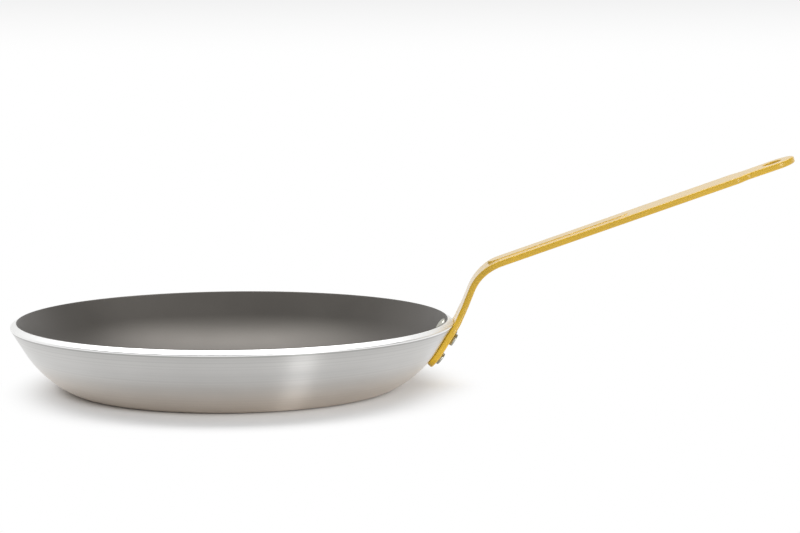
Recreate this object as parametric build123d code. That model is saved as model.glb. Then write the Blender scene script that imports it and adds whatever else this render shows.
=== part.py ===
from build123d import *
from math import acos, asin, atan2, cos, degrees, hypot, pi, radians, sin, tan
import os

# Omelette pan: a shallow pressed aluminium pan with sloping sides, a baked non-stick lining,
# and a long strip handle held by three rivets. Sizes in millimetres, angles in degrees.
# The origin is the middle of the underside, +Z is up, and the handle points along +X.

# Pan body: one plate of even thickness, pressed to a flat floor and a sloping wall
rim_radius = 140.0
plate_thickness = 4.8
wall_angle = 58.8
wall_straight = 17.4
bowl_inside_radius = 60.8
heel_inside_radius = 7.4
heel_angle = 28.1
rim_edge_round = 1.0

# Non-stick lining: one even layer on the inside of the plate
lining_thickness = 0.3

# Handle strip: flat steel bar with eased edges
strip_thickness = 4.0
strip_edge_round = 1.1
flange_seat_gap = 0.05

# Handle flange: the foot of the strip, curved to follow the outside of the wall
flange_drop = 31.0
flange_foot_width = 29.0
flange_width = 33.0
flange_shoulder_drop = 5.0
flange_corner_radius = 7.0

# Handle neck: a slight bend above the rim, then the flange's curve fades to a flat strip
lift_bend_radius = 20.0
lift_straight = 2.0
steep_angle = 68.5
flare_width = 26.5
flare_length = 10.0
steep_straight = 7.9

# Handle bend and grip
bend_inside_radius = 29.0
grip_angle = 19.4
grip_length = 196.2
grip_width = 30.0
neck_inset = 4.0
widening_length = 13.2
widening_end = 6.5

# Handle end: shoulders, a slightly narrower tongue and a round end with the hanging hole
shoulder_to_tip = 39.2
shoulder_length = 7.0
tongue_inset = 3.5
end_bulge = 1.1
hanging_hole_radius = 6.0
hanging_hole_to_tip = 14.0
hanging_hole_round = 0.6

# How much of each slanting side its two rounded corners take up
blend_share = 0.42

# Low rib pressed up along the grip, with a pocket of the same depth beneath: its flat top starts above
# the bend and keeps to the grip's plane, so the rib is highest at its start
rib_width = 12.6
rib_height = 0.5
rib_start = 8.0
rib_end = 86.0
rib_side_angle = 35.0

# Rivets: solid, with a low dome inside the pan and an upset drum head outside
rivet_shank_radius = 3.0
rivet_hole_clearance = 0.1
rivet_pair_spacing = 16.0
upper_rivet_drop = 9.2
lower_rivet_drop = 24.4
inside_head_radius = 6.8
inside_head_height = 2.2
outside_head_radius = 4.15
outside_head_height = 2.3
outside_head_round = 0.6

# One overrun for every cut, and for what is trimmed to a neighbour's surface
overrun = 1.0

# Edges that turn more sharply than this are outline edges; flatter ones are seams of a smooth surface
sharp_turn = 45.0

# Worked out from the sizes above
wall_cos = cos(radians(wall_angle))
wall_sin = sin(radians(wall_angle))
heel_cos = cos(radians(heel_angle))
heel_sin = sin(radians(heel_angle))
bowl_radius = bowl_inside_radius + plate_thickness
heel_radius = heel_inside_radius + plate_thickness
rim_corner_radius = rim_radius + rim_edge_round * (wall_cos + wall_sin - 1)
bend_rise = heel_radius * (1 - heel_cos) + bowl_radius * (heel_cos - wall_cos)
bend_run = heel_radius * heel_sin + bowl_radius * (wall_sin - heel_sin)
rim_corner_height = bend_rise + wall_straight * wall_sin
base_radius = rim_corner_radius - wall_straight * wall_cos - bend_run
inner_wall_depth = plate_thickness + lining_thickness
strip_outset = flange_seat_gap + strip_thickness
bend_turn = steep_angle - grip_angle
neck_width = grip_width - neck_inset * 2
tongue_width = grip_width - tongue_inset * 2
end_radius = tongue_width / 2 + end_bulge
rib_reach = rib_start ** 2 / bend_inside_radius / 2 + overrun
rivet_hole_radius = rivet_shank_radius + rivet_hole_clearance


def direction(angle):
    """The unit vector at an angle above the horizontal, in the section plane."""
    return Vector(cos(radians(angle)), sin(radians(angle)))


def wall_place(drop):
    """Radius, height and slope of the outer wall at a distance below the rim, measured along the wall."""
    if drop <= wall_straight:
        return rim_corner_radius - drop * wall_cos, rim_corner_height - drop * wall_sin, wall_angle
    slope = wall_angle - degrees((drop - wall_straight) / bowl_radius)
    run = heel_radius * heel_sin + bowl_radius * (sin(radians(slope)) - heel_sin)
    rise = heel_radius * (1 - heel_cos) + bowl_radius * (heel_cos - cos(radians(slope)))
    return base_radius + run, rise, slope


def wall_point(drop, outset):
    """The point of the section that lies an outset outside the wall."""
    radius, height, slope = wall_place(drop)
    return Vector(radius, height) + direction(slope - 90) * outset


def section_plane(point, angle):
    """The plane through a section point whose local x rises at an angle and whose z points up and back."""
    along = direction(angle)
    return Plane(origin=(point.X, 0, point.Y), x_dir=(along.X, 0, along.Y), z_dir=(-along.Y, 0, along.X))


def cross_plane(point, angle):
    """The plane through a point of the section that is square to a line rising at an angle."""
    along = direction(angle)
    return Plane(origin=(point.X, 0, point.Y), x_dir=(0, 1, 0), z_dir=(along.X, 0, along.Y))


def section_face(line_a, line_b):
    """The face in the XZ plane between two section lines that run side by side."""
    ends = [Line(line_a @ 0, line_b @ 0).edge(), Line(line_a @ 1, line_b @ 1).edge()]
    return Plane.XZ * make_face(line_a.edges() + line_b.edges() + ends)


def shell_line(depth):
    """The plate's section line at a depth below its outer surface, from the axis to the rim."""
    floor = Line((0, depth), (base_radius, depth))
    heel = JernArc(floor @ 1, (1, 0), heel_radius - depth, heel_angle)
    bowl = JernArc(heel @ 1, heel % 1, bowl_radius - depth, wall_angle - heel_angle)
    wall = Line(bowl @ 1, bowl @ 1 + direction(wall_angle) * wall_straight)
    return Wire([floor.edge(), heel.edge(), bowl.edge(), wall.edge()])


def shell_layer(outer_depth, inner_depth):
    return revolve(section_face(shell_line(outer_depth), shell_line(inner_depth)), Axis.Z)


def pan_blank():
    """The pressed plate before drilling, with the outer edge of its rim eased."""
    blank = shell_layer(0, plate_thickness)
    widest = blank.edges().filter_by(GeomType.CIRCLE).sort_by(lambda edge: edge.radius)[-1]
    return fillet(widest, rim_edge_round)


def lining_blank():
    return shell_layer(plate_thickness, plate_thickness + lining_thickness)


def lift_line(outset):
    """The slight bend just above the rim that turns the strip from the wall's slope to its steep stretch."""
    turn = steep_angle - wall_angle
    return JernArc(wall_point(0, outset), direction(wall_angle), lift_bend_radius + outset, turn)


def steep_point(rise, below):
    """A point of the strip's steep stretch: so far past the lift bend, and so far below the top face."""
    start = lift_line(flange_seat_gap) @ 1
    return start + direction(steep_angle) * rise + direction(steep_angle - 90) * below


def flange_line(outset):
    """The flange's section line at an outset from the wall, from below its foot to above the lift bend."""
    foot_drop = flange_drop + overrun
    foot_slope = wall_place(foot_drop)[2]
    start = wall_point(foot_drop, outset)
    edges = []
    if foot_drop > wall_straight:
        bowl = JernArc(start, direction(foot_slope), bowl_radius + outset, wall_angle - foot_slope)
        edges.append(bowl.edge())
        start = bowl @ 1
    wall = Line(start, wall_point(0, outset))
    lift = lift_line(outset)
    rise = Line(lift @ 1, lift @ 1 + direction(steep_angle) * (lift_straight + overrun))
    return Wire(edges + [wall.edge(), lift.edge(), rise.edge()])


def strip_line(below):
    """The flat strip's section line at a depth below its top face: steep stretch, bend and grip."""
    start = steep_point(lift_straight + flare_length, below)
    rise = Line(start, start + direction(steep_angle) * steep_straight)
    bend_radius = bend_inside_radius + strip_thickness - below
    bend = JernArc(rise @ 1, direction(steep_angle), bend_radius, -bend_turn)
    grip = Line(bend @ 1, bend @ 1 + direction(grip_angle) * (grip_length + overrun))
    return Wire([rise.edge(), bend.edge(), grip.edge()])


def grip_plane(below):
    """The grip's plane at a depth below its top face: local x runs to the tip from the end of the bend."""
    bend_end = strip_line(0).edges()[1] @ 1
    return section_plane(bend_end + direction(grip_angle - 90) * below, grip_angle)


def mirrored_outline(points, radii):
    """A closed outline from one side's points (along, half width) and the radii of its corners."""
    other_side = [(along, -half_width) for along, half_width in reversed(points)]
    return make_face(FilletPolyline(*points, *other_side, radius=radii + radii[::-1], close=True).edges())


def blend_radius(along, across):
    """The radius that rounds both corners of a slanting side of that length and width."""
    return blend_share * hypot(along, across) / tan(atan2(abs(across), along) / 2)


def flange():
    """The curved foot of the handle, up to the plane where the flare starts."""
    narrowest = wall_place(flange_drop + overrun)[0]
    half_turn = degrees(asin((flange_width / 2 + overrun) / narrowest))
    side = section_face(flange_line(flange_seat_gap), flange_line(strip_outset))
    sector = Rot(0, 0, -half_turn) * revolve(side, Axis.Z, half_turn * 2)
    flare_start = cross_plane(steep_point(lift_straight, 0), steep_angle)
    sector = split(sector, bisect_by=flare_start, keep=Keep.BOTTOM)
    rim_plane = section_plane(wall_point(0, 0), wall_angle)
    foot = rim_plane.to_local_coords(section_plane(wall_point(flange_drop, 0), wall_angle).origin)
    top = rim_plane.to_local_coords(section_plane(steep_point(lift_straight, 0), wall_angle).origin)
    narrowing = (flange_width - flare_width) / 2 / (top.X + flange_shoulder_drop)
    past_top = top.X + strip_thickness
    points = [(foot.X, flange_foot_width / 2), (-flange_shoulder_drop, flange_width / 2),
              (past_top, flare_width / 2 - narrowing * strip_thickness)]
    outline = mirrored_outline(points, [flange_corner_radius, flange_corner_radius, 0])
    return sector & extrude(rim_plane * outline, amount=flange_drop, both=True)


def end_face(body, rise):
    """The face of a body that lies square across the steep stretch at a rise past the lift bend."""
    plane = cross_plane(steep_point(rise, 0), steep_angle)
    return min(body.faces(), key=lambda face: abs(plane.to_local_coords(face.center()).Z))


def strip():
    """The flat part of the strip, from the flare to the round end."""
    side = section_face(strip_line(0), strip_line(strip_thickness))
    bar = extrude(side, amount=grip_width, both=True)
    behind = (bend_inside_radius + strip_thickness) * sin(radians(bend_turn)) + steep_straight + overrun
    end_centre = grip_length - end_radius
    shoulder_start = grip_length - shoulder_to_tip
    tongue_start = shoulder_start + shoulder_length
    to_centre = hypot(end_centre - tongue_start, tongue_width / 2)
    touch = pi - atan2(tongue_width / 2, end_centre - tongue_start) - acos(end_radius / to_centre)
    points = [(-behind, neck_width / 2), (-widening_end - widening_length, neck_width / 2),
              (-widening_end, grip_width / 2), (shoulder_start, grip_width / 2),
              (tongue_start, tongue_width / 2),
              (end_centre + end_radius * cos(touch), end_radius * sin(touch))]
    wide_round = blend_radius(widening_length, neck_inset)
    step_round = blend_radius(shoulder_length, tongue_inset)
    outline = mirrored_outline(points, [0, wide_round, wide_round, step_round, step_round, 0])
    outline += Pos(end_centre, 0) * Circle(end_radius)
    return bar & extrude(grip_plane(0) * outline, amount=grip_width * 2, both=True)


def end_face_round(body, rise):
    """The body with its outline edges eased, except around the end face where the flare joins."""
    solid = body.solids()[0]
    joint = end_face(solid, rise).edges()
    return fillet([edge for edge in outline_edges(solid) if edge not in joint], strip_edge_round)


def outline_edges(solid):
    """The edges where the broad faces of the strip meet its sides, without the seams of smooth surfaces."""
    kept = []
    for edge in solid.edges():
        middle = edge.position_at(0.5)
        normals = [face.normal_at(middle) for face in solid.faces() if edge in face.edges()]
        if len(normals) == 2 and normals[0].get_angle(normals[1]) > sharp_turn:
            kept.append(edge)
    return kept


def pressed_rib(below):
    """The rib's tapered body, as wide as the rib at a depth below the top face, reaching past the bend."""
    widening = rib_reach * tan(radians(rib_side_angle))
    length = rib_start + rib_end
    slot = SlotOverall(length + widening * 2, rib_width + widening * 2)
    foot = grip_plane(below + rib_reach) * Pos(rib_end - length / 2, 0) * slot
    return extrude(foot, amount=rib_reach + rib_height, taper=rib_side_angle)


def handle_blank():
    """The handle before drilling: flange, flare and strip in one, eased edges, rib pressed up."""
    foot = end_face_round(flange(), lift_straight)
    bar = end_face_round(strip(), lift_straight + flare_length)
    joints = [end_face(foot, lift_straight), end_face(bar, lift_straight + flare_length)]
    bar += pressed_rib(0)
    bar -= pressed_rib(strip_thickness)
    return foot + loft(joints, ruled=True) + bar


def round_bar(radius, start, end):
    """A round bar along z between two heights."""
    return Pos(0, 0, start) * Cylinder(radius, end - start, align=(Align.CENTER, Align.CENTER, Align.MIN))


def with_hanging_hole(blank):
    """The handle with its hanging hole, both mouths eased."""
    drill = round_bar(hanging_hole_radius, -strip_thickness - overrun, overrun)
    drilled = blank - grip_plane(0) * Pos(grip_length - hanging_hole_to_tip, 0) * drill
    rings = drilled.edges().filter_by(GeomType.CIRCLE)
    mouths = rings.sort_by(lambda edge: abs(edge.radius - hanging_hole_radius))[:2]
    return fillet(mouths, hanging_hole_round)


def on_wall(shape, drop, side):
    """A shape moved to the outer wall at a drop below the rim, its z outward, and turned to one side."""
    radius, height, slope = wall_place(drop)
    outward = direction(slope - 90)
    plane = Plane(origin=(radius, 0, height), x_dir=(0, 1, 0), z_dir=(outward.X, 0, outward.Y))
    turn = degrees(asin(side * rivet_pair_spacing / 2 / radius))
    return Rot(0, 0, turn) * (plane * shape)


def domed_head():
    """The inside head: a low dome on a collar that reaches into the wall and is trimmed to the lining."""
    dome_radius = (inside_head_radius ** 2 + inside_head_height ** 2) / (inside_head_height * 2)
    dome_turn = degrees(asin(inside_head_radius / dome_radius))
    dome = JernArc((0, inside_head_height), (1, 0), dome_radius, -dome_turn)
    collar = Polyline(dome @ 1, (inside_head_radius, -overrun), (0, -overrun), (0, inside_head_height))
    return revolve(Plane.XZ * make_face(dome.edges() + collar.edges()), Axis.Z)


def drum_head():
    """The outside head: an upset drum with an eased edge, on a collar that is trimmed to the flange."""
    drum = round_bar(outside_head_radius, -overrun, outside_head_height)
    return fillet(drum.edges().sort_by(Axis.Z)[-1], outside_head_round)


def rivet(drop, side, wall_layers, handle):
    """One rivet: inside head seated on the lining, shank, and outside head seated on the flange."""
    inner = on_wall(Pos(0, 0, -inner_wall_depth) * Rot(180, 0, 0) * domed_head(), drop, side)
    for layer in wall_layers:
        inner -= layer
    outer = on_wall(Pos(0, 0, strip_outset) * drum_head(), drop, side) - handle
    inner_end = -inner_wall_depth - inside_head_height / 2
    shank = round_bar(rivet_shank_radius, inner_end, strip_outset + outside_head_height / 2)
    return inner + on_wall(shank, drop, side) + outer


pan_body = pan_blank()
nonstick_lining = lining_blank()
handle = handle_blank()

rivet_places = {
    "rivet_upper_left": (upper_rivet_drop, -1),
    "rivet_upper_right": (upper_rivet_drop, 1),
    "rivet_lower": (lower_rivet_drop, 0),
}
pieces = {}
for name, (drop, side) in rivet_places.items():
    pieces[name] = rivet(drop, side, [pan_body, nonstick_lining], handle)

handle = with_hanging_hole(handle)
hole_bar = round_bar(rivet_hole_radius, -inner_wall_depth - overrun, strip_outset + overrun)
for drop, side in rivet_places.values():
    drill = on_wall(hole_bar, drop, side)
    pan_body -= drill
    nonstick_lining -= drill
    handle -= drill

pieces["pan_body"] = pan_body
pieces["nonstick_lining"] = nonstick_lining
pieces["handle"] = handle

os.makedirs("parts", exist_ok=True)
for name, piece in pieces.items():
    export_step(piece, "parts/" + name + ".step")
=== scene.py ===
from math import asin, cos, hypot, pi, radians, sin, tan

import bmesh
import bpy
import numpy as np
from bpy.props import FloatProperty, FloatVectorProperty, PointerProperty
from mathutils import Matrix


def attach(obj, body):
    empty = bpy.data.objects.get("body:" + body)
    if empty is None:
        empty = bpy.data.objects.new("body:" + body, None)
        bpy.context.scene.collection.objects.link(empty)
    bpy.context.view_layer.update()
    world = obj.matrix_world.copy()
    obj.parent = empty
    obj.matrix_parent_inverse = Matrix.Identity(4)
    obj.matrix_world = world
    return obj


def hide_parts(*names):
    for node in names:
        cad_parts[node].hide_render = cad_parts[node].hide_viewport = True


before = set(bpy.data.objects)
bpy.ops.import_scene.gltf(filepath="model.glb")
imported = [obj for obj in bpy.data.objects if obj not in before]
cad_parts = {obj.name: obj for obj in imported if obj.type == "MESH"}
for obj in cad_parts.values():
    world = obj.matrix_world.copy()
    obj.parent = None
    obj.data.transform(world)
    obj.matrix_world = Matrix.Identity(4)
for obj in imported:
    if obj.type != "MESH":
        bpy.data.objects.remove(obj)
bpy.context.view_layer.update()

bl_info = {
    "name": "Omelette pan",
    "version": (1, 0, 0),
    "blender": (4, 5, 0),
    "location": "View3D > Sidebar > Pan",
    "description": "Builds an omelette pan with a turned body, a lining and a riveted strip handle",
    "category": "Add Mesh",
}

MM = 0.001

# How finely the round shapes are drawn: steps of a full turn, and rows along the pan's section
PAN_STEPS, RIVET_STEPS, STUDIO_STEPS = 256, 48, 96
FLOOR_ROWS, HEEL_ROWS, BOWL_ROWS, WALL_ROWS = 26, 14, 34, 18

# Points nearer than the first are welded, and edges shorter than the second go
WELD_DISTANCE, SLIVER = 0.002 * MM, 0.001 * MM


# Settings of the pan, its finishes and the stage


def length(name, text, default_mm):
    """A length property; its default is given in millimetres and kept in metres."""
    return FloatProperty(name=name, description=text, default=default_mm * MM,
                         unit="LENGTH", subtype="DISTANCE")


def slope(name, text, default_degrees):
    """An angle property; its default is given in degrees."""
    return FloatProperty(name=name, description=text, default=radians(default_degrees),
                         unit="ROTATION", subtype="ANGLE")


def hex_linear(code):
    """An sRGB colour written as six hex digits, turned to linear light, with alpha 1."""
    srgb = np.array([int(code[i:i + 2], 16) for i in (0, 2, 4)]) / 255
    linear = np.where(srgb <= 0.04045, srgb / 12.92, ((srgb + 0.055) / 1.055) ** 2.4)
    return (*linear.tolist(), 1.0)


def colour(name, text, code):
    """A colour property; its default is an sRGB hex value."""
    return FloatVectorProperty(name=name, description=text, size=4, subtype="COLOR", min=0, max=1,
                               default=hex_linear(code))


class PanSizes(bpy.types.PropertyGroup):
    rim_radius: length("Rim radius", "Outer radius of the rim", 139.98)
    plate: length("Plate", "Thickness of the pressed plate", 4.8)
    lining: length("Lining", "Drawn thickness of the non-stick lining", 0.3)
    wall_angle: slope("Wall angle", "Slope of the straight part of the wall above the horizontal", 58.8)
    wall_straight: length("Straight wall", "Length of the straight part of the wall below the rim", 17.4)
    bowl_radius: length("Bowl radius", "Outer radius of the curve between heel and wall", 65.6)
    heel_radius: length("Heel radius", "Outer radius of the curve where the floor turns up", 12.2)
    heel_angle: slope("Heel angle", "Slope where the heel meets the bowl curve", 28.1)
    rim_round: length("Rim round", "Rounding of the rim's outer edge", 1.0)


class HandleSizes(bpy.types.PropertyGroup):
    strip: length("Strip", "Thickness of the handle strip", 4.0)
    edge_round: length("Edge round", "Rounding along the strip's outline", 1.1)
    seat_gap: length("Seat gap", "Gap between the wall and the flange", 0.05)
    flange_drop: length("Flange drop", "How far down the wall the flange reaches", 31.0)
    foot_width: length("Foot width", "Width of the flange at its foot", 29.0)
    flange_width: length("Flange width", "Greatest width of the flange", 33.0)
    shoulder_drop: length("Flange shoulder", "Drop of the flange's widest place below the rim", 5.0)
    corner_round: length("Flange corners", "Corner radius of the flange", 7.0)
    lift_radius: length("Lift bend", "Radius of the slight bend above the rim", 20.0)
    lift_straight: length("Lift straight", "Straight stretch between the lift bend and the flare", 2.0)
    steep_angle: slope("Steep angle", "Slope of the neck above the horizontal", 68.5)
    flare_width: length("Flare width", "Width where the flange's curve starts to fade", 26.5)
    flare_length: length("Flare length", "Length over which the flange's curve fades", 10.0)
    steep_straight: length("Neck straight", "Straight stretch of the neck", 7.9)
    neck_width: length("Neck width", "Width of the neck", 22.0)
    bend_radius: length("Bend radius", "Radius of the bend on its top face", 33.0)
    grip_angle: slope("Grip angle", "Slope of the grip above the horizontal", 19.4)
    grip_length: length("Grip length", "From the end of the bend to the tip", 196.19)
    grip_width: length("Grip width", "Width of the grip", 30.0)
    widening: length("Widening", "Length over which the neck widens to the grip", 13.2)
    widening_end: length("Widening end", "Where the widening ends, before the end of the bend", 6.5)
    shoulder_to_tip: length("Shoulder to tip", "From the shoulder to the tip", 39.2)
    shoulder: length("Shoulder", "Length of the shoulder's slant", 7.0)
    tongue_width: length("Tongue width", "Width just past the shoulder", 23.0)
    end_radius: length("End radius", "Radius of the round end", 12.6)
    hole_radius: length("Hole radius", "Radius of the hanging hole", 6.0)
    hole_to_tip: length("Hole to tip", "From the hole's centre to the tip", 14.0)
    hole_round: length("Hole round", "Rounding of the hole's mouths", 0.6)
    rib_width: length("Rib width", "Width of the rib that is pressed up along the grip", 12.6)
    rib_height: length("Rib height", "Height of the rib above the grip", 0.5)
    rib_start: length("Rib start", "From the rib's start to the end of the bend", 8.0)
    rib_end: length("Rib end", "From the end of the bend to the rib's far end", 86.0)
    rib_side: length("Rib side", "Width of the rib's rounded side", 0.36)


class RivetSizes(bpy.types.PropertyGroup):
    spacing: length("Pair spacing", "Distance between the two upper rivets", 16.0)
    upper_drop: length("Upper drop", "Drop of the upper rivets below the rim", 9.2)
    lower_drop: length("Lower drop", "Drop of the lower rivet below the rim", 24.4)
    shank_radius: length("Shank radius", "Radius of the shank", 3.0)
    dome_radius: length("Inside head radius", "Radius of the low dome inside the pan", 6.8)
    dome_height: length("Inside head height", "Height of the low dome", 2.2)
    drum_radius: length("Outside head radius", "Radius of the upset head outside", 4.15)
    drum_height: length("Outside head height", "Height of the upset head", 2.3)
    drum_round: length("Outside head round", "Rounding of the upset head's edge", 0.6)


class PanColours(bpy.types.PropertyGroup):
    aluminium: colour("Turned aluminium", "Colour of the turned outside", "D5D4D2")
    base_stain: colour("Base tint", "Warm tint of the aluminium near the base", "D8CEC3")
    rim: colour("Machined rim", "Colour of the bare machined rim", "F2F2F1")
    lining: colour("Non-stick lining", "Colour of the non-stick lining", "302E2A")
    coat: colour("Yellow coat", "Colour of the handle's baked coat", "D3A919")
    rivet: colour("Rivets", "Colour of the bare rivets", "B4B3A8")
    floor: colour("Floor", "Colour of the studio floor", "F4F4F4")


class StageSettings(bpy.types.PropertyGroup):
    lens: FloatProperty(name="Lens", description="Focal length for a sensor 36 mm wide", default=84.76,
                        unit="CAMERA")
    pitch: slope("Camera pitch", "How far the camera looks down", 6.2717)
    camera_x: length("Camera right", "Camera place to the right of the pan's middle", 105.86)
    camera_y: length("Camera back", "Camera place behind the pan's middle, seen from the front", -1190.07)
    camera_z: length("Camera height", "Camera height above the underside", 206.16)
    key: FloatProperty(name="Key light", description="Power of the light overhead", default=16.5,
                       unit="POWER")
    side: FloatProperty(name="Side light", description="Power of the light at the front right", default=6.5,
                        unit="POWER")
    world: FloatProperty(name="Even light", description="Strength of the even light from all around",
                         default=0.46)
    room: FloatProperty(name="Dim room", description="How bright reflections show the room above the camera",
                        default=0.22)


# Surfaces, worked out as grids of points


def grid_quads(rows, columns, start=0):
    """Corner numbers of a grid's quads: cell (i, j) joins vertex i*columns + j and its neighbours."""
    corner = start + (np.arange(rows - 1)[:, None] * columns + np.arange(columns - 1)[None, :])
    return np.stack([corner, corner + 1, corner + columns + 1, corner + columns], axis=-1).reshape(-1, 4)


def welded_piece(name, grids, finishes):
    """One closed mesh from several grids of points, each a (rows, columns, 3) array with a material number.
    Points that fall together are welded, slivers go, and all faces are turned outwards. Each grid may bring
    its own (rows, columns, 2) array of pattern coordinates, which is kept in the UV map."""
    points, quads, finish, pattern, start = [], [], [], [], 0
    for grid, number, uv in grids:
        rows, columns = grid.shape[:2]
        points.append(grid.reshape(-1, 3))
        quads.append(grid_quads(rows, columns, start))
        finish.append(np.full(len(quads[-1]), number))
        pattern.append(np.zeros((rows * columns, 2)) if uv is None else uv.reshape(-1, 2))
        start += rows * columns
    points, quads = np.concatenate(points), np.concatenate(quads)
    finish, pattern = np.concatenate(finish), np.concatenate(pattern)
    mesh = bpy.data.meshes.new(name)
    mesh.from_pydata(points.tolist(), [], quads.tolist())
    layer = mesh.uv_layers.new(name="turned")
    layer.data.foreach_set("uv", pattern[quads.reshape(-1)].reshape(-1))
    mesh.polygons.foreach_set("material_index", finish)
    mesh.polygons.foreach_set("use_smooth", np.ones(len(quads), dtype=bool))
    for material in finishes:
        mesh.materials.append(material)
    weld = bmesh.new()
    weld.from_mesh(mesh)
    bmesh.ops.remove_doubles(weld, verts=weld.verts, dist=WELD_DISTANCE)
    bmesh.ops.dissolve_degenerate(weld, edges=weld.edges, dist=SLIVER)
    bmesh.ops.recalc_face_normals(weld, faces=weld.faces)
    if any(not edge.is_manifold for edge in weld.edges):
        raise RuntimeError(name + " is not closed")
    weld.to_mesh(mesh)
    weld.free()
    piece = bpy.data.objects.new(name, mesh)
    bpy.context.scene.collection.objects.link(piece)
    return piece


def stand_for(piece, node):
    """Hands a finished piece over: it replaces a node and rides on the only body."""
    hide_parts(node)
    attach(piece, "root")


def turned_grid(profile, steps):
    """A profile of (radius, height) rows carried round the Z axis: point (i, j) is the profile's row i at
    the angle 2*pi*j/steps. The pattern coordinates are the share of the turn and the way along the profile,
    in tenths of a metre."""
    angle = np.linspace(0, 2 * pi, steps + 1)
    angle[-1] = 0
    radius, height = profile[:, :1], profile[:, 1:]
    grid = np.stack([radius * np.cos(angle), radius * np.sin(angle), height + 0 * angle], axis=-1)
    way = np.concatenate([[0], np.cumsum(np.hypot(*np.diff(profile, axis=0).T))]) / (100 * MM)
    uv = np.stack([np.broadcast_to(np.linspace(0, 1, steps + 1), grid.shape[:2]),
                   np.broadcast_to(way[:, None], grid.shape[:2])], axis=-1)
    return grid, uv


def arc(centre, radius, start, end, count):
    """Points of an arc: centre plus radius times (cosine, sine) of evenly spaced angles, in radians."""
    angle = np.linspace(start, end, count)
    return np.array(centre) + radius * np.stack([np.cos(angle), np.sin(angle)], axis=-1)


class Shell:
    """The pan's section: a flat floor, a heel arc, a bowl arc and a straight wall, each tangent to the
    last one."""

    def __init__(self, sizes):
        self.sizes = sizes
        wall, heel = sizes.wall_angle, sizes.heel_angle
        self.corner_radius = sizes.rim_radius + sizes.rim_round * (cos(wall) + sin(wall) - 1)
        self.bend_rise = sizes.heel_radius * (1 - cos(heel)) + sizes.bowl_radius * (cos(heel) - cos(wall))
        run = sizes.heel_radius * sin(heel) + sizes.bowl_radius * (sin(wall) - sin(heel))
        self.corner_height = self.bend_rise + sizes.wall_straight * sin(wall)
        self.base_radius = self.corner_radius - sizes.wall_straight * cos(wall) - run

    def line(self, depth):
        """The section at a depth below the outer face, as (radius, height) rows from the axis to the rim."""
        sizes = self.sizes
        floor = np.stack([np.linspace(0, self.base_radius, FLOOR_ROWS), np.full(FLOOR_ROWS, depth)], axis=-1)
        down = -pi / 2
        heel_centre = (self.base_radius, sizes.heel_radius)
        heel_end, bowl_end = down + sizes.heel_angle, down + sizes.wall_angle
        heel = arc(heel_centre, sizes.heel_radius - depth, down, heel_end, HEEL_ROWS)
        back = sizes.bowl_radius - sizes.heel_radius
        bowl_centre = (heel_centre[0] - back * sin(sizes.heel_angle),
                       heel_centre[1] + back * cos(sizes.heel_angle))
        bowl = arc(bowl_centre, sizes.bowl_radius - depth, heel_end, bowl_end, BOWL_ROWS)
        along = np.array([cos(sizes.wall_angle), sin(sizes.wall_angle)])
        wall = bowl[-1] + np.linspace(0, sizes.wall_straight, WALL_ROWS)[:, None] * along
        return np.concatenate([floor, heel[1:], bowl[1:], wall[1:]])

    def place(self, drop):
        """Radius, height and slope of the outer wall at a drop below the rim, measured along the wall."""
        sizes = self.sizes
        if drop <= sizes.wall_straight:
            return (self.corner_radius - drop * cos(sizes.wall_angle),
                    self.corner_height - drop * sin(sizes.wall_angle), sizes.wall_angle)
        angle = sizes.wall_angle - (drop - sizes.wall_straight) / sizes.bowl_radius
        run = (sizes.heel_radius * sin(sizes.heel_angle)
               + sizes.bowl_radius * (sin(angle) - sin(sizes.heel_angle)))
        rise = (sizes.heel_radius * (1 - cos(sizes.heel_angle))
                + sizes.bowl_radius * (cos(sizes.heel_angle) - cos(angle)))
        return self.base_radius + run, rise, angle


def rounded_path(points, radii, step):
    """A polyline whose inner corners are arcs: each arc starts and ends radius*tan(turn/2) from its corner,
    and has a point about every half step."""
    straight, fewest = 1e-4, 6
    points = np.array(points)
    rows = [points[:1]]
    for before, corner, after, radius in zip(points[:-2], points[1:-1], points[2:], radii):
        to_before = (before - corner) / np.linalg.norm(before - corner)
        to_after = (after - corner) / np.linalg.norm(after - corner)
        turn = np.arccos(np.clip(-to_before @ to_after, -1, 1))
        if radius == 0 or turn < straight:
            rows.append(corner[None])
            continue
        cut = radius * tan(turn / 2)
        middle = to_before + to_after
        centre = corner + middle / np.linalg.norm(middle) * hypot(cut, radius)
        first, last = corner + to_before * cut - centre, corner + to_after * cut - centre
        start = np.arctan2(first[1], first[0])
        sweep = np.arctan2(first[0] * last[1] - first[1] * last[0], first @ last)
        count = max(fewest, int(abs(sweep) * radius / step * 2))
        rows.append(arc(centre, radius, start, start + sweep, count))
    rows.append(points[-1:])
    return np.concatenate(rows)


def resampled(path, places):
    """The points of a path at the given distances along it, and the path's whole length."""
    way = np.concatenate([[0], np.cumsum(np.hypot(*np.diff(path, axis=0).T))])
    points = np.stack([np.interp(places, way, path[:, 0]), np.interp(places, way, path[:, 1])], axis=-1)
    return points, way[-1]


def eased_wall(ease, depth, count):
    """A wall between two faces with a quarter round at each: its rows stand back from the wall by
    ease*(1 - sin(t)) and lie ease*(1 - cos(t)) deep, and the same again from the other face."""
    turn = np.linspace(0, pi / 2, count)
    back = np.concatenate([1 - np.sin(turn), 1 - np.cos(turn)]) * ease
    down = np.concatenate([(1 - np.cos(turn)) * ease, depth - (1 - np.sin(turn)) * ease])
    return back, down


def smooth_step(value):
    """0 below 0, 1 above 1, and the cubic 3t^2 - 2t^3 between."""
    t = np.clip(value, 0, 1)
    return t * t * (3 - 2 * t)


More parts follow.
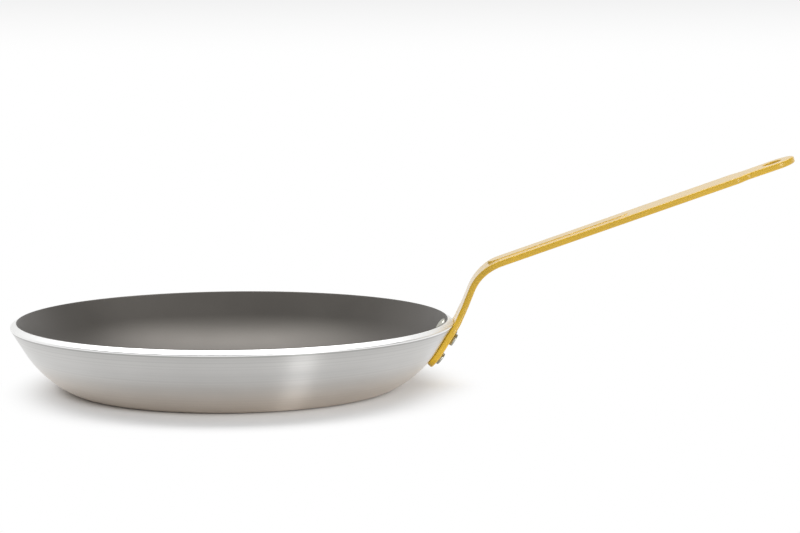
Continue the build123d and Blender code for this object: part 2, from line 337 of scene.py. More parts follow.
class Strip:
    """The handle's strip, bent along a path in the XZ plane. A point has the way s along the inner and top
    face, measured from the rim, the side y and the depth d below that face."""

    def __init__(self, sizes, shell):
        self.sizes, self.shell = sizes, shell
        gap, wall, steep = sizes.seat_gap, shell.sizes.wall_angle, sizes.steep_angle
        lift = (sizes.lift_radius + gap) * (steep - wall)
        self.curved_end = lift + sizes.lift_straight
        self.flat_start = self.curved_end + sizes.flare_length
        self.bend_start = self.flat_start + sizes.steep_straight
        self.bend_end = self.bend_start + sizes.bend_radius * (steep - sizes.grip_angle)
        self.tip = self.bend_end + sizes.grip_length
        self.wall_bottom = -shell.sizes.wall_straight
        # slope as a function of the way: constant on straights, linear in the bends
        below_foot, past_tip, path_points = -50 * MM, 5 * MM, 6001
        low_slope = wall + (below_foot - self.wall_bottom) / (shell.sizes.bowl_radius + gap)
        self.ways = np.linspace(below_foot, self.tip + past_tip, path_points)
        self.slopes = np.interp(
            self.ways, [below_foot, self.wall_bottom, 0, lift, self.bend_start, self.bend_end],
            [low_slope, wall, wall, steep, steep, sizes.grip_angle])
        step = self.ways[1] - self.ways[0]
        middle = (self.slopes[1:] + self.slopes[:-1]) / 2
        run = np.concatenate([[0], np.cumsum(np.cos(middle)) * step])
        rise = np.concatenate([[0], np.cumsum(np.sin(middle)) * step])
        x, z = shell.corner_radius + gap * sin(wall), shell.corner_height - gap * cos(wall)
        self.xs = run - np.interp(0, self.ways, run) + x
        self.zs = rise - np.interp(0, self.ways, rise) + z

    def place(self, s, y, d):
        """Space points: the path's point, moved d square to it. In the flange the strip is turned round the
        pan's axis, so that x falls by x - sqrt(x^2 - y^2), and that fall fades to nothing past the rim."""
        fade_share = 1.2
        slope_here = np.interp(s, self.ways, self.slopes)
        x = np.interp(s, self.ways, self.xs) + d * np.sin(slope_here)
        z = np.interp(s, self.ways, self.zs) - d * np.cos(slope_here)
        fall = x - np.sqrt(np.maximum(x * x - y * y, 0))
        fade_start = self.curved_end - self.sizes.lift_straight
        fade = 1 - smooth_step((s - fade_start) / (self.sizes.flare_length * fade_share))
        return np.stack([x - fall * fade, y + 0 * x, z], axis=-1)

    def pressed(self, s, y):
        """How far the rib stands out: inside a slot with round ends its flat top keeps rib_height above the
        grip's plane, below which the bend's top face falls by R*(1 - cos(angle)). Its side is S-shaped."""
        sizes = self.sizes
        along = s - self.bend_end
        half = sizes.rib_width / 2
        angle = np.clip(-along / sizes.bend_radius, 0, 1)
        in_plane = np.where(along < 0, -sizes.bend_radius * np.sin(angle), along)
        past_centre = in_plane - np.clip(in_plane, half - sizes.rib_start, sizes.rib_end - half)
        inside = half - np.hypot(past_centre, y)
        fall = sizes.bend_radius * (1 - np.cos(angle))
        return (sizes.rib_height + fall) / np.cos(angle) * smooth_step(inside / sizes.rib_side)

    def half_outline(self):
        """One side of the strip's outline as (s, half width) rows, from the foot's middle to the tip's."""
        sizes = self.sizes
        flare_round, neck_round, widening_round, shoulder_round = 30 * MM, 40 * MM, 19 * MM, 6 * MM
        outline_step, end_points = 0.5 * MM, 40

        def developed(u):
            """A place in the grip's plane before the end of the bend, as a way along the bent strip."""
            return self.bend_end - sizes.bend_radius * asin(-u / sizes.bend_radius)

        neck_end = developed(-sizes.widening_end - sizes.widening)
        grip_start = developed(-sizes.widening_end)
        end_centre = self.tip - sizes.end_radius
        shoulder = self.tip - sizes.shoulder_to_tip
        tongue = shoulder + sizes.shoulder
        to_centre = hypot(end_centre - tongue, sizes.tongue_width / 2)
        touch = (pi - np.arctan2(sizes.tongue_width / 2, end_centre - tongue)
                 - np.arccos(sizes.end_radius / to_centre))
        points = [(-sizes.flange_drop, 0), (-sizes.flange_drop, sizes.foot_width / 2),
                  (-sizes.shoulder_drop, sizes.flange_width / 2), (self.curved_end, sizes.flare_width / 2),
                  (self.flat_start, sizes.neck_width / 2), (neck_end, sizes.neck_width / 2),
                  (grip_start, sizes.grip_width / 2), (shoulder, sizes.grip_width / 2),
                  (tongue, sizes.tongue_width / 2),
                  (end_centre + sizes.end_radius * cos(touch), sizes.end_radius * sin(touch))]
        radii = [sizes.corner_round, sizes.corner_round, flare_round, neck_round, widening_round,
                 widening_round, shoulder_round, shoulder_round]
        side = rounded_path(points, radii, outline_step)
        end = arc((end_centre, 0), sizes.end_radius, touch, 0, end_points)
        return np.concatenate([side, end[1:]])


# Materials


# Settings of a Map Range node that fades softly at both ends
SMOOTH = {"interpolation_type": "SMOOTHSTEP"}


def new_material(name):
    """An empty node material with its output; returns the material and its node tree."""
    material = bpy.data.materials.new(name)
    material.use_nodes = True
    material.node_tree.nodes.clear()
    return material, material.node_tree


def node(tree, kind, settings=None, **links):
    """Adds a shader node, sets its properties, and sets its inputs by name, or by number as i0, i1 and so
    on. A value that is an output socket is linked. Settings may be just the name of an operation."""
    made = tree.nodes.new("ShaderNode" + kind)
    if isinstance(settings, str):
        settings = {"operation": settings}
    for key, value in (settings or {}).items():
        setattr(made, key, value)
    for key, value in links.items():
        numbered = key[0] == "i" and key[1:].isdigit()
        socket = made.inputs[int(key[1:]) if numbered else key.replace("_", " ")]
        if isinstance(value, bpy.types.NodeSocket):
            tree.links.new(value, socket)
        else:
            socket.default_value = value
    return made


def radius_and_height(tree):
    """Object coordinates, the height, and a vector of (radius, height, 0) from them, in metres."""
    place = node(tree, "TexCoord").outputs["Object"]
    parts = node(tree, "SeparateXYZ", Vector=place)
    flat = node(tree, "CombineXYZ", X=parts.outputs["X"], Y=parts.outputs["Y"], Z=0.0)
    radius = node(tree, "VectorMath", "LENGTH", Vector=flat.outputs[0]).outputs["Value"]
    height = parts.outputs["Z"]
    section = node(tree, "CombineXYZ", X=radius, Y=height, Z=0.0).outputs[0]
    return place, height, section


def turned_aluminium(colours):
    """Pure aluminium plate, turned on a lathe: satin, with fine rings that draw highlights out into streaks
    up the wall, and a faint warm tint towards the base."""
    material, tree = new_material("turned_aluminium")
    place, height, section = radius_and_height(tree)
    # rings 0.4 mm apart are too fine for the render, so they are drawn about 1.2 mm apart
    rings = node(tree, "TexNoise", {"noise_dimensions": "2D"}, Vector=section, Scale=850.0,
                 Detail=3.0, Roughness=0.6).outputs["Fac"]
    # broad soft bands left by the tool's feed, about 12 mm, and clouds of about 45 mm
    bands = node(tree, "TexNoise", {"noise_dimensions": "2D"}, Vector=section, Scale=85.0,
                 Detail=1.0).outputs["Fac"]
    cloud = node(tree, "TexNoise", Vector=place, Scale=22.0, Detail=2.0).outputs["Fac"]
    # the tint grows from 26 mm above the base down to 4 mm
    low = node(tree, "MapRange", SMOOTH, Value=height,
               From_Min=26 * MM, From_Max=4 * MM, To_Min=0.0, To_Max=1.0).outputs["Result"]
    tint = node(tree, "Mix", {"data_type": "RGBA"}, Factor=low, i6=colours.aluminium[:],
                i7=colours.base_stain[:]).outputs[2]
    shade = node(tree, "Math", "ADD", i0=rings, i1=bands).outputs[0]
    shade = node(tree, "Math", "ADD", i0=shade, i1=cloud).outputs[0]
    shade = node(tree, "MapRange", Value=shade, From_Min=1.1, From_Max=1.9, To_Min=0.9,
                 To_Max=1.0).outputs["Result"]
    # a slightly darker band below the rim
    upper = node(tree, "MapRange", SMOOTH, Value=height,
                 From_Min=33.5 * MM, From_Max=38 * MM, To_Min=0.0, To_Max=-0.07).outputs["Result"]
    shade = node(tree, "Math", "ADD", i0=shade, i1=upper).outputs[0]
    # a dark line where the rim's facing ends, and two faint rings below it: their
    #     heights and half widths in mm, and how much darker they are
    for ring_height, half_width, darkness in ((38.9, 0.5, 0.22), (35.2, 0.4, 0.06), (32.7, 0.4, 0.05)):
        ring = node(tree, "Math", "COMPARE", i0=height, i1=ring_height * MM, i2=half_width * MM).outputs[0]
        shade = node(tree, "Math", "MULTIPLY_ADD", i0=ring, i1=-darkness, i2=shade).outputs[0]
    tint = node(tree, "VectorMath", "SCALE", Vector=tint, Scale=shade).outputs[0]
    bump = node(tree, "Bump", Strength=0.25, Distance=0.06 * MM, Height=rings).outputs[0]
    around = node(tree, "Tangent", {"direction_type": "UV_MAP", "uv_map": "turned"}).outputs[0]
    rough = node(tree, "MapRange", Value=bands, From_Min=0.3, From_Max=0.7, To_Min=0.31,
                 To_Max=0.36).outputs["Result"]
    skin = node(tree, "BsdfPrincipled", Base_Color=tint, Metallic=1.0, Roughness=rough, Normal=bump,
                Anisotropic=1.0, Anisotropic_Rotation=0.25, Tangent=around)
    node(tree, "OutputMaterial", Surface=skin.outputs[0])
    return material


def machined_rim(colours):
    """The same aluminium, faced off at the rim: bright and evenly satin, with hairline rings."""
    material, tree = new_material("machined_rim_aluminium")
    section = radius_and_height(tree)[2]
    # rings of 0.2 mm are drawn about 0.6 mm apart
    rings = node(tree, "TexNoise", {"noise_dimensions": "2D"}, Vector=section, Scale=1600.0,
                 Detail=2.0, Roughness=0.6).outputs["Fac"]
    rough = node(tree, "MapRange", Value=rings, To_Min=0.32, To_Max=0.4).outputs["Result"]
    bump = node(tree, "Bump", Strength=0.2, Distance=0.03 * MM, Height=rings).outputs[0]
    skin = node(tree, "BsdfPrincipled", Base_Color=colours.rim[:], Metallic=1.0, Roughness=rough,
                Normal=bump)
    node(tree, "OutputMaterial", Surface=skin.outputs[0])
    return material


def nonstick_coating(colours):
    """Baked fluoropolymer coating, sprayed: matte dark grey with a fine grain and a warm, dull sheen."""
    material, tree = new_material("nonstick_fluoropolymer")
    place = node(tree, "TexCoord").outputs["Object"]
    # a spray grain of 0.3 mm is drawn about 0.9 mm wide, so that it just shows, and clouds are about 33 mm
    grain = node(tree, "TexNoise", Vector=place, Scale=1100.0, Detail=2.0, Roughness=0.6).outputs["Fac"]
    cloud = node(tree, "TexNoise", Vector=place, Scale=30.0, Detail=3.0, Roughness=0.55).outputs["Fac"]
    mottle = node(tree, "Math", "ADD", i0=grain, i1=cloud).outputs[0]
    shade = node(tree, "MapRange", Value=mottle, From_Min=0.6, From_Max=1.4, To_Min=0.85,
                 To_Max=1.15).outputs["Result"]
    tone = node(tree, "VectorMath", "SCALE", Vector=colours.lining[:3], Scale=shade).outputs[0]
    bump = node(tree, "Bump", Strength=0.35, Distance=0.08 * MM, Height=grain).outputs[0]
    rough = node(tree, "MapRange", Value=cloud, From_Min=0.3, From_Max=0.7, To_Min=0.42,
                 To_Max=0.47).outputs["Result"]
    skin = node(tree, "BsdfPrincipled", Base_Color=tone, Roughness=rough, IOR=1.55,
                Specular_IOR_Level=1.0, Specular_Tint=(1.0, 0.93, 0.86, 1.0), Normal=bump)
    node(tree, "OutputMaterial", Surface=skin.outputs[0])
    return material


def yellow_coat(colours):
    """Yellow epoxy powder coat, baked on the steel strip: an even colour, with painted light towards the
    foot, under a smooth clear top layer, which mirrors the pale room at low angles."""
    material, tree = new_material("yellow_powder_coat")
    place = node(tree, "TexCoord").outputs["Object"]
    # soft differences of tone, about 22 mm wide
    cloud = node(tree, "TexNoise", Vector=place, Scale=45.0, Detail=2.0).outputs["Fac"]
    shade = node(tree, "MapRange", Value=cloud, From_Min=0.3, From_Max=0.7, To_Min=0.97,
                 To_Max=1.03).outputs["Result"]
    # painted light on the foot: the coat is drawn a little brighter there, from 50 mm above the base down to
    # 20 mm
    height = node(tree, "SeparateXYZ", Vector=place).outputs["Z"]
    foot = node(tree, "MapRange", SMOOTH, Value=height,
                From_Min=50 * MM, From_Max=20 * MM, To_Min=0.0, To_Max=0.3).outputs["Result"]
    shade = node(tree, "Math", "ADD", i0=shade, i1=foot).outputs[0]
    tone = node(tree, "VectorMath", "SCALE", Vector=colours.coat[:3], Scale=shade).outputs[0]
    rough = node(tree, "MapRange", Value=cloud, From_Min=0.3, From_Max=0.7, To_Min=0.38,
                 To_Max=0.42).outputs["Result"]
    skin = node(tree, "BsdfPrincipled", Base_Color=tone, Roughness=rough, IOR=1.5,
                Coat_Weight=1.0, Coat_Roughness=0.18, Coat_IOR=1.3)
    node(tree, "OutputMaterial", Surface=skin.outputs[0])
    return material


def rivet_aluminium(colours):
    """Solid aluminium rivet, upset in a die: smooth and fairly bright, with slight dulling."""
    material, tree = new_material("rivet_aluminium")
    place = node(tree, "TexCoord").outputs["Object"]
    # dull spots of about 1.4 mm
    cloud = node(tree, "TexNoise", Vector=place, Scale=700.0, Detail=2.0).outputs["Fac"]
    rough = node(tree, "MapRange", Value=cloud, From_Min=0.3, From_Max=0.7, To_Min=0.15,
                 To_Max=0.22).outputs["Result"]
    bump = node(tree, "Bump", Strength=0.15, Distance=0.04 * MM, Height=cloud).outputs[0]
    skin = node(tree, "BsdfPrincipled", Base_Color=colours.rivet[:], Metallic=1.0, Roughness=rough,
                Normal=bump)
    node(tree, "OutputMaterial", Surface=skin.outputs[0])
    return material


def studio_floor(colours):
    """Matte white studio floor: the eye sees it as plain white with the pan's soft shadow. Its glow, for
    the camera and for reflections, grows outwards in two steps: just past the base, and from under the
    rim on."""
    material, tree = new_material("studio_floor_white")
    place = node(tree, "TexCoord").outputs["Object"]
    across = node(tree, "SeparateXYZ", Vector=place).outputs["X"]
    # the near shadow reaches a little further to the left and the wide one to the right, and the wide one is
    # narrower from side to side than from front to back
    away = node(tree, "VectorMath", "LENGTH", Vector=place).outputs["Value"]
    away = node(tree, "Math", "MULTIPLY_ADD", i0=across, i1=0.03, i2=away).outputs[0]
    wide = node(tree, "VectorMath", "MULTIPLY", i0=place, i1=(1.2, 1.0, 1.0)).outputs[0]
    wide = node(tree, "VectorMath", "LENGTH", Vector=wide).outputs["Value"]
    wide = node(tree, "Math", "MULTIPLY_ADD", i0=across, i1=-0.05, i2=wide).outputs[0]
    matte = node(tree, "BsdfDiffuse", Color=colours.floor[:])
    glow = node(tree, "Emission")
    rays = node(tree, "LightPath")
    seen = node(tree, "Math", "MAXIMUM", i0=rays.outputs["Is Camera Ray"],
                i1=rays.outputs["Is Glossy Ray"]).outputs[0]
    near = node(tree, "MapRange", SMOOTH, Value=away,
                From_Min=102 * MM, From_Max=114 * MM, To_Min=0.0, To_Max=0.22).outputs["Result"]
    far = node(tree, "MapRange", SMOOTH, Value=wide,
               From_Min=128 * MM, From_Max=185 * MM, To_Min=0.0, To_Max=0.78).outputs["Result"]
    far = node(tree, "Math", "ADD", i0=near, i1=far).outputs[0]
    share = node(tree, "Math", "MULTIPLY", i0=seen, i1=far).outputs[0]
    both = node(tree, "MixShader", i0=share, i1=matte.outputs[0], i2=glow.outputs[0])
    node(tree, "OutputMaterial", Surface=both.outputs[0])
    return material


# Operators, one for each piece or group of like pieces, and one for the stage


class PAN_OT_body(bpy.types.Operator):
    """Makes the pressed and turned aluminium plate with its bare rim"""
    bl_idname = "pan.body"
    bl_label = "Pan body"

    def execute(self, context):
        """The section between the outer face and the inner one, with an eased rim, is turned round Z."""
        sizes = context.scene.pan_sizes
        shell = Shell(sizes)
        outer, inner = shell.line(0), shell.line(sizes.plate)
        along = np.array([cos(sizes.wall_angle), sin(sizes.wall_angle)])
        outward = np.array([sin(sizes.wall_angle), -cos(sizes.wall_angle)])
        corner = np.array([shell.corner_radius, shell.corner_height])
        ease, inner_ease = sizes.rim_round, 0.25 * MM
        bead_rows, face_rows, inner_rows = 9, 7, 5
        centre = corner - (along + outward) * ease
        bead = arc(centre, ease, sizes.wall_angle - pi / 2, sizes.wall_angle, bead_rows)
        inner_corner = corner - outward * sizes.plate
        inner_centre = inner_corner + (outward - along) * inner_ease
        inner_bead = arc(inner_centre, inner_ease, sizes.wall_angle, sizes.wall_angle + pi / 2, inner_rows)
        face = bead[-1] + np.linspace(0, 1, face_rows)[1:-1, None] * (inner_bead[0] - bead[-1])
        outside = np.concatenate([outer[:-1], bead[:2]])
        rim = np.concatenate([bead[1:], face, inner_bead])
        inside = np.concatenate([inner_bead[-1:], inner[-2::-1]])
        grids = []
        for profile, finish in ((outside, 0), (rim, 1), (inside, 0)):
            grid, uv = turned_grid(profile, PAN_STEPS)
            grids.append((grid, finish, uv))
        colours = context.scene.pan_colours
        piece = welded_piece("pan_body_plate", grids, [turned_aluminium(colours), machined_rim(colours)])
        stand_for(piece, "pan_body")
        return {"FINISHED"}


class PAN_OT_lining(bpy.types.Operator):
    """Makes the non-stick lining on the inside of the plate"""
    bl_idname = "pan.lining"
    bl_label = "Non-stick lining"

    def execute(self, context):
        """The section between the plate's inner face and the lining's own face is turned round Z."""
        sizes = context.scene.pan_sizes
        shell = Shell(sizes)
        under, top = shell.line(sizes.plate), shell.line(sizes.plate + sizes.lining)
        thin, edge_rows = sizes.lining, 7
        along = np.array([cos(sizes.wall_angle), sin(sizes.wall_angle)])
        middle = (under[-1] + top[-1]) / 2 - along * thin / 2
        edge = arc(middle, thin / 2, sizes.wall_angle - pi / 2, sizes.wall_angle + pi / 2, edge_rows)
        profile = np.concatenate([under[:-1], edge, top[-2::-1]])
        grid, uv = turned_grid(profile, PAN_STEPS)
        piece = welded_piece("nonstick_lining_layer", [(grid, 0, uv)],
                             [nonstick_coating(context.scene.pan_colours)])
        stand_for(piece, "nonstick_lining")
        return {"FINISHED"}


class PAN_OT_handle(bpy.types.Operator):
    """Makes the bent strip handle with its flange, rib, shoulders and hanging hole"""
    bl_idname = "pan.handle"
    bl_label = "Strip handle"

    def execute(self, context):
        """Top and bottom are grids of rows straight across between the two sides of the outline. The edge is
        the outline carried round a profile of two quarter rounds. The round end is a fan between the hole
        and the outline."""
        sizes = context.scene.handle_sizes
        strip = Strip(sizes, Shell(context.scene.pan_sizes))
        ease = sizes.edge_round
        path = strip.half_outline()
        total = resampled(path, np.array([0.0]))[1]

        # how far apart the rows stand: close at the corners, the rib's two ends and the shoulders
        spacing_samples, usual_spacing = 4000, 1.3 * MM
        fine = np.linspace(0, total, spacing_samples)
        ways = resampled(path, fine)[0][:, 0]
        foot = -sizes.flange_drop
        rib_tip = strip.bend_end + sizes.rib_end
        shoulder = strip.tip - sizes.shoulder_to_tip
        spacing = np.full(len(fine), usual_spacing)
        for first, last, apart in (
                (strip.bend_end + 3 * MM, shoulder - 6 * MM, 2.5 * MM),
                (rib_tip - 8 * MM, rib_tip + 1 * MM, 0.3 * MM),
                (strip.bend_end - 10 * MM, strip.bend_end - 1 * MM, 0.35 * MM),
                (shoulder - 6 * MM, shoulder + 16 * MM, 0.7 * MM),
                (foot - 1 * MM, foot + sizes.corner_round, 0.6 * MM)):
            spacing[(ways > first) & (ways < last)] = apart
        count = np.concatenate([[0], np.cumsum((fine[1] - fine[0]) / spacing[1:])])
        places = np.interp(np.linspace(0, count[-1], int(count[-1])), count, fine)
        outline = resampled(path, places)[0]
        near = 0.01 * MM
        tangent = resampled(path, places + near)[0] - resampled(path, places - near)[0]
        tangent[0], tangent[-1] = (0, 1), (0, -1)
        tangent /= np.linalg.norm(tangent, axis=1, keepdims=True)
        outward = np.stack([-tangent[:, 1], tangent[:, 0]], axis=-1)

        # the foot's straight end, one side, and the round end
        hole, fan_reach = strip.tip - sizes.hole_to_tip, 4.5 * MM
        fan_start = hole - sizes.hole_radius - fan_reach
        foot_count = int(np.argmax(outline[:, 0] > foot + near))
        side = slice(foot_count, int(np.argmax(outline[:, 0] > fan_start)))
        end = slice(side.stop - 1, len(outline))
        inner = outline - outward * ease

        # shares across: close where the rib's sides are, with one more row just inside the edge
        margin, on_rib, on_side, beside = 0.4 * MM, 13, 11, 9
        half_rib, half_grip = sizes.rib_width / 2, sizes.grip_width / 2 - ease
        side_start = (half_rib - sizes.rib_side - margin) / half_grip
        side_end = (half_rib + margin) / half_grip
        hold = 0.1 * MM / half_grip
        share = np.concatenate([np.linspace(0, side_start, on_rib),
                                np.linspace(side_start, side_end, on_side)[1:],
                                np.linspace(side_end, 1 - hold, beside)[1:], [1]])
        share = np.concatenate([-share[:0:-1], share])

        # rows of the foot's corners and of both sides, with the foot's straight end as the first row
        rows = inner[foot_count - 1:side.stop]
        flat_s = np.broadcast_to(rows[:, :1], (len(rows), len(share)))
        flat_y = rows[:, 1:] * share
        edge_rows, mouth_rows = 6, 5
        in_edge, down_edge = eased_wall(ease, sizes.strip, edge_rows)
        lift = strip.pressed(flat_s, flat_y)
        grids = [strip.place(flat_s, flat_y, -lift), strip.place(flat_s, flat_y, sizes.strip - lift)]

        # the edge all round one side and the round end, and its mirror image
        loop, loop_out = outline[foot_count - 1:], outward[foot_count - 1:]
        edge_s = loop[:, :1] - loop_out[:, :1] * in_edge
        edge_y = loop[:, 1:] - loop_out[:, 1:] * in_edge
        for mirror in (1, -1):
            grids.append(strip.place(edge_s, edge_y * mirror, np.broadcast_to(down_edge, edge_s.shape)))

        # the foot's end wall between the two sides
        foot_s = foot + in_edge[:, None] + 0 * share
        foot_y = rows[0, 1] * share + 0 * in_edge[:, None]
        grids.append(strip.place(foot_s, foot_y, np.broadcast_to(down_edge[:, None], foot_s.shape)))

        # the round end: straight lines from the hole's mouth to the boundary, with rows close at both ends
        cross = np.stack([np.full(len(share), rows[-1, 0]), rows[-1, 1] * share], axis=-1)
        near_side = inner[end]
        boundary = np.concatenate([cross[:-1], near_side, near_side[-2::-1] * (1, -1)])
        angle = np.arctan2(boundary[:, 1], boundary[:, 0] - hole)
        mouth_radius = sizes.hole_radius + sizes.hole_round
        mouth = np.stack([hole + mouth_radius * np.cos(angle), mouth_radius * np.sin(angle)], axis=-1)
        reach = np.array([0, 0.02, 0.2, 0.4, 0.6, 0.8, 0.98, 1])[:, None, None]
        fan = mouth + (boundary - mouth) * reach
        for depth in (0.0, sizes.strip):
            grids.append(strip.place(fan[..., 0], fan[..., 1], depth))

        # the hole's wall with two quarter rounds
        back, down = eased_wall(sizes.hole_round, sizes.strip, mouth_rows)
        bore = back + sizes.hole_radius
        wall_s, wall_y = hole + bore[:, None] * np.cos(angle), bore[:, None] * np.sin(angle)
        grids.append(strip.place(wall_s, wall_y, np.broadcast_to(down[:, None], wall_s.shape)))

        piece = welded_piece("handle_strip", [(grid, 0, None) for grid in grids],
                             [yellow_coat(context.scene.pan_colours)])
        stand_for(piece, "handle")
        return {"FINISHED"}


class PAN_OT_rivets(bpy.types.Operator):
    """Makes the three rivets with a low dome inside the pan and an upset head outside"""
    bl_idname = "pan.rivets"
    bl_label = "Rivets"

    def execute(self, context):
        """One profile from the pole of the dome, half an ellipse, along the shank to the outside head is
        turned round each rivet's axis, which stands square on the wall."""
        rivets, pan, handle = context.scene.rivet_sizes, context.scene.pan_sizes, context.scene.handle_sizes
        shell = Shell(pan)
        finish = rivet_aluminium(context.scene.pan_colours)
        inside = -pan.plate - pan.lining
        outside = handle.seat_gap + handle.strip
        dome_rows, drum_rows = 14, 8
        dome = arc((0, 0), 1, -pi / 2, 0, dome_rows) * (rivets.dome_radius, rivets.dome_height) + (0, inside)
        top = outside + rivets.drum_height
        soft = rivets.drum_round
        drum = arc((rivets.drum_radius - soft, top - soft), soft, 0, pi / 2, drum_rows)
        # the faces are curved, so both heads are carried a little into them and no gap shows
        sunk = 0.4 * MM
        profile = np.concatenate([
            dome, [(rivets.dome_radius, inside + sunk), (rivets.shank_radius, inside + sunk),
                   (rivets.shank_radius, outside - sunk), (rivets.drum_radius, outside - sunk)],
            drum, [(rivets.drum_radius / 2, top), (0, top)]])
        grid = turned_grid(profile, RIVET_STEPS)[0]
        places = {"rivet_upper_left": (rivets.upper_drop, -1), "rivet_upper_right": (rivets.upper_drop, 1),
                  "rivet_lower": (rivets.lower_drop, 0)}
        for name, (drop, side) in places.items():
            radius, height, slope_here = shell.place(drop)
            turn = asin(side * rivets.spacing / 2 / radius)
            outward = np.array([sin(slope_here) * cos(turn), sin(slope_here) * sin(turn), -cos(slope_here)])
            across = np.array([-sin(turn), cos(turn), 0])
            along = np.cross(outward, across)
            seat = np.array([radius * cos(turn), radius * sin(turn), height])
            points = seat + grid[..., :1] * across + grid[..., 1:2] * along + grid[..., 2:] * outward
            piece = welded_piece(name + "_solid", [(points, 0, None)], [finish])
            stand_for(piece, name)
        return {"FINISHED"}


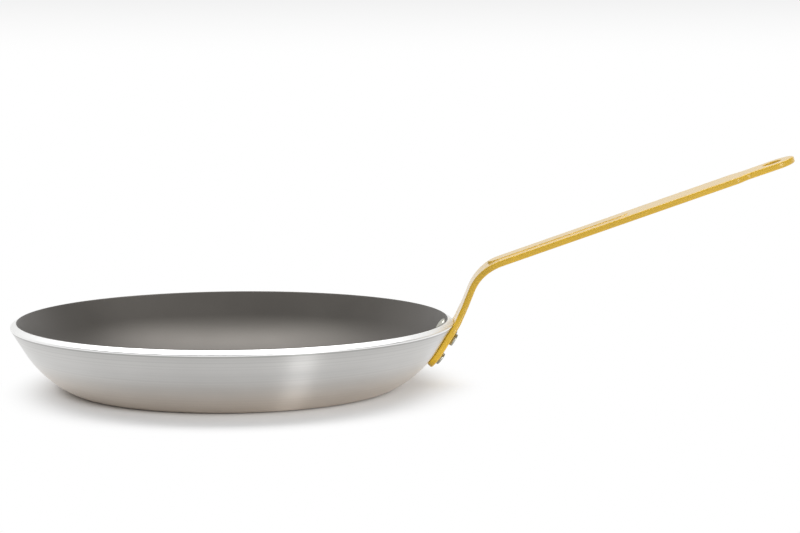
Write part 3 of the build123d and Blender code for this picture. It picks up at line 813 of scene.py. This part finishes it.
class PAN_OT_stage(bpy.types.Operator):
    """Makes the floor, the studio light, the surroundings and the camera"""
    bl_idname = "pan.stage"
    bl_label = "Stage"

    def execute(self, context):
        """The floor is a flat disc of rings whose radii grow by an equal factor. Each lamp faces a point
        inside the pan from its azimuth, elevation and distance."""
        stage = context.scene.stage_settings
        first_ring, floor_radius, ring_count = 0.02, 40, 60
        radius = np.concatenate([[0], np.geomspace(first_ring, floor_radius, ring_count)])
        profile = np.stack([radius, np.zeros(len(radius))], axis=-1)
        grid = turned_grid(profile, STUDIO_STEPS)[0]
        quads = grid_quads(*grid.shape[:2])[:, ::-1]
        mesh = bpy.data.meshes.new("studio_floor")
        mesh.from_pydata(grid.reshape(-1, 3).tolist(), [], quads.tolist())
        weld = bmesh.new()
        weld.from_mesh(mesh)
        bmesh.ops.remove_doubles(weld, verts=weld.verts, dist=WELD_DISTANCE)
        weld.normal_update()
        if sum(face.normal.z for face in weld.faces) < 0:
            bmesh.ops.reverse_faces(weld, faces=weld.faces)
        weld.to_mesh(mesh)
        weld.free()
        mesh.materials.append(studio_floor(context.scene.pan_colours))
        floor = bpy.data.objects.new("studio_floor", mesh)
        context.scene.collection.objects.link(floor)

        # sizes and distances in metres, azimuth from the front to the right and elevation in degrees
        aim = (0.06, 0, 0.04)
        for name, power, width, depth, azimuth, elevation, distance in (
                ("key_softbox", stage.key, 1.9, 0.78, 4.0, 102.0, 1.3),
                ("side_softbox", stage.side, 0.33, 0.9, 37.0, 10.0, 1.5)):
            lamp = bpy.data.lights.new(name, "AREA")
            lamp.shape = "RECTANGLE"
            lamp.size, lamp.size_y, lamp.energy = width, depth, power
            holder = bpy.data.objects.new(name, lamp)
            side, lift = radians(azimuth), radians(elevation)
            place = np.array([sin(side) * cos(lift), -cos(side) * cos(lift), sin(lift)]) * distance
            holder.location = place + aim
            holder.rotation_euler = (pi / 2 - lift, 0, side)
            context.scene.collection.objects.link(holder)

        world = bpy.data.worlds.new("studio_room")
        world.use_nodes = True
        tree = world.node_tree
        tree.nodes.clear()
        rays = node(tree, "LightPath")
        seen = node(tree, "Math", "MAXIMUM", i0=rays.outputs["Is Camera Ray"],
                    i1=rays.outputs["Is Glossy Ray"]).outputs[0]
        seen = node(tree, "Math", "MAXIMUM", i0=seen, i1=rays.outputs["Is Transmission Ray"]).outputs[0]
        # what is seen all round is white, but for a dim room on the camera's side, from a fifth of the way
        # up to nearly overhead, that reaches further back on the right
        towards = node(tree, "SeparateXYZ", Vector=node(tree, "TexCoord").outputs["Generated"]).outputs
        turned = node(tree, "Math", "MULTIPLY_ADD", i0=towards["X"], i1=-0.4, i2=towards["Y"]).outputs[0]
        up, dim = towards["Z"], 1.0
        for value, none, full in ((up, 0.22, 0.45), (turned, 0.65, 0.3), (up, 0.93, 0.84)):
            mask = node(tree, "MapRange", SMOOTH, Value=value,
                        From_Min=none, From_Max=full).outputs["Result"]
            dim = node(tree, "Math", "MULTIPLY", i0=dim, i1=mask).outputs[0]
        white = node(tree, "MapRange", Value=dim, To_Min=1.0, To_Max=stage.room).outputs["Result"]
        # the backdrop straight behind the pan is up to a fifth less bright above the horizon
        rise = node(tree, "MapRange", SMOOTH, Value=towards["Z"],
                    From_Min=0.0, From_Max=0.06).outputs["Result"]
        behind = node(tree, "MapRange", SMOOTH, Value=towards["Y"],
                      From_Min=0.75, From_Max=0.92, To_Max=0.2).outputs["Result"]
        behind = node(tree, "Math", "MULTIPLY", i0=rise, i1=behind).outputs[0]
        white = node(tree, "Math", "SUBTRACT", i0=white, i1=behind).outputs[0]
        strength = node(tree, "Mix", {"data_type": "FLOAT"}, i0=seen, i2=stage.world, i3=white).outputs[0]
        light = node(tree, "Background", Color=(1.0, 1.0, 1.0, 1.0), Strength=strength)
        node(tree, "OutputWorld", Surface=light.outputs[0])
        context.scene.world = world

        camera = bpy.data.cameras.new("photo_camera")
        camera.lens, camera.sensor_width, camera.sensor_fit = stage.lens, 36.0, "HORIZONTAL"
        camera.clip_start, camera.clip_end = 0.05, 100.0
        holder = bpy.data.objects.new("photo_camera", camera)
        holder.location = (stage.camera_x, stage.camera_y, stage.camera_z)
        holder.rotation_euler = (pi / 2 - stage.pitch, 0, 0)
        context.scene.collection.objects.link(holder)
        context.scene.camera = holder
        context.scene.view_settings.view_transform = "Standard"
        return {"FINISHED"}


class PAN_PT_sidebar(bpy.types.Panel):
    """Lists the pan's pieces in the sidebar"""
    bl_idname = "PAN_PT_sidebar"
    bl_label = "Omelette pan"
    bl_space_type = "VIEW_3D"
    bl_region_type = "UI"
    bl_category = "Pan"

    def draw(self, context):
        for operator in OPERATORS:
            self.layout.operator(operator.bl_idname)


GROUPS = {"pan_sizes": PanSizes, "handle_sizes": HandleSizes, "rivet_sizes": RivetSizes,
          "pan_colours": PanColours, "stage_settings": StageSettings}
OPERATORS = (PAN_OT_body, PAN_OT_lining, PAN_OT_handle, PAN_OT_rivets, PAN_OT_stage)


def register():
    for kind in (*GROUPS.values(), *OPERATORS, PAN_PT_sidebar):
        bpy.utils.register_class(kind)
    for name, kind in GROUPS.items():
        setattr(bpy.types.Scene, name, PointerProperty(type=kind))


def unregister():
    for name in GROUPS:
        delattr(bpy.types.Scene, name)
    for kind in (PAN_PT_sidebar, *OPERATORS, *GROUPS.values()):
        bpy.utils.unregister_class(kind)


def main():
    register()
    bpy.ops.pan.body()
    bpy.ops.pan.lining()
    bpy.ops.pan.handle()
    bpy.ops.pan.rivets()
    bpy.ops.pan.stage()


if __name__ == "__main__":
    main()
